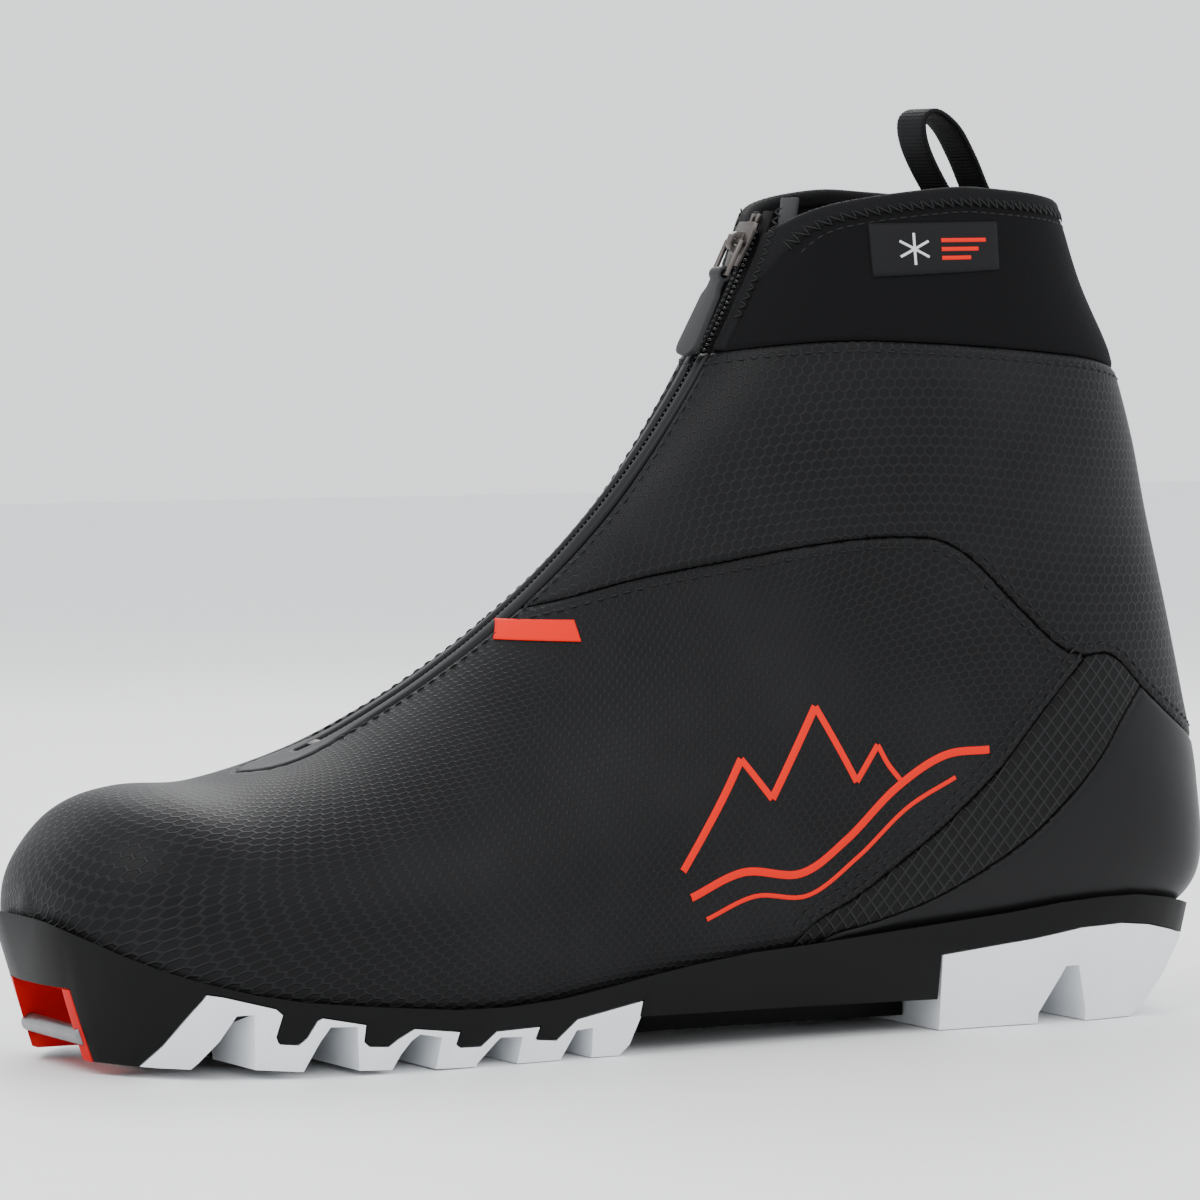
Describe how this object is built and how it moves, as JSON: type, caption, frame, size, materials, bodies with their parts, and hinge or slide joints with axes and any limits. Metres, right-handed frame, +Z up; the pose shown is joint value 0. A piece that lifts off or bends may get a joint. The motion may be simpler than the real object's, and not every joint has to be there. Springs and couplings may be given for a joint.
{
  "type": "cross country ski boot",
  "caption": "Left cross country ski boot: zipped outer cover over a laced inner boot, neoprene collar, heel loop and bar-type sole with rubber treads.",
  "frame": {"origin": "middle of the footprint on the floor", "axes": "+X from toe to heel, +Y to the inner (medial) side, +Z up"},
  "size_m": [0.296, 0.0928, 0.2103],
  "materials": {
    "fabric": "coated honeycomb fabric, charcoal",
    "placket": "smooth coated strip, black",
    "counter": "satin moulded heel counter with a raised grid",
    "board": "fibre lasting board",
    "neoprene": "matt black neoprene with a knitted face",
    "binding_strip": "woven strip, black",
    "label": "woven label, dark grey",
    "tag": "red print",
    "lining": "brushed lining over foam",
    "pull": "soft grey rubber",
    "eyestay": "stitched facing",
    "lace": "braided round lace",
    "webbing": "ribbed webbing",
    "lock": "moulded lace lock",
    "lock_button": "moulded red button",
    "zip_tape": "woven tape",
    "zip_coil": "nylon coil",
    "gunmetal": "dark nickel plating",
    "tread": "white rubber with a fine grain",
    "rubber": "satin black rubber",
    "carbon": "fibre-reinforced shank",
    "red_plastic": "moulded red insert",
    "steel": "ground bar"
  },
  "bodies": {
    "boot": {"vamp": "fabric", "ankle_panel": "fabric", "zip_placket": "placket", "heel_counter": "counter", "heel_band_lateral": "counter", "heel_band_medial": "counter", "lasting_board": "board", "collar": "neoprene", "collar_binding": "neoprene", "back_strip": "binding_strip", "collar_label": "label", "side_tag": "tag", "inner_boot": "lining", "tongue": "lining", "footbed": "lining", "tongue_tab": "pull", "eyestay_lateral": "eyestay", "eyestay_medial": "eyestay", "lace": "lace", "lace_loop_1": "webbing", "lace_loop_2": "webbing", "lace_loop_3": "webbing", "lace_loop_4": "webbing", "lace_loop_5": "webbing", "lace_loop_6": "webbing", "lace_loop_7": "webbing", "lace_loop_8": "webbing", "lace_loop_9": "webbing", "lace_loop_10": "webbing", "lace_lock_body": "lock", "zip_tape_lateral": "zip_tape", "zip_tape_medial": "zip_tape", "zip_coil_lateral": "zip_coil", "zip_coil_medial": "zip_coil", "zip_top_stop_lateral": "gunmetal", "zip_top_stop_medial": "gunmetal", "zip_bottom_stop": "gunmetal", "forefoot_tread_lateral": "tread", "forefoot_tread_medial": "tread", "heel_tread": "tread", "outsole": "rubber", "shank": "carbon", "toe_cassette": "red_plastic", "toe_bar": "steel"},
    "slider": {"zip_slider": "gunmetal"},
    "puller": {"zip_pull_link": "gunmetal", "zip_pull_tab": "pull"},
    "heel_loop": {"pull_loop": "webbing"},
    "lock_button": {"lace_lock_button": "lock_button"}
  },
  "joints": [
    {"name": "zip_travel", "type": "hinge", "parent": "boot", "child": "slider", "pos_m": [-0.16265, 0.00073, 0.2635], "axis": [0, 1, 0], "range_deg": [0, 40.2]},
    {"name": "puller_flip", "type": "hinge", "parent": "slider", "child": "puller", "pos_m": [0.02979, 0.00073, 0.17942], "axis": [0, 1, 0], "range_deg": [0, 150]},
    {"name": "pull_loop_flex", "type": "hinge", "parent": "boot", "child": "heel_loop", "pos_m": [0.10945, 0.00073, 0.172], "axis": [0, 1, 0], "range_deg": [-25, 1.5], "stiffness_Nm_per_rad": 0.02},
    {"name": "lace_lock_press", "type": "slide", "parent": "boot", "child": "lock_button", "axis": [0, 1, 0], "range_m": [0, 0.0025], "stiffness_N_per_m": 200}
  ]
}
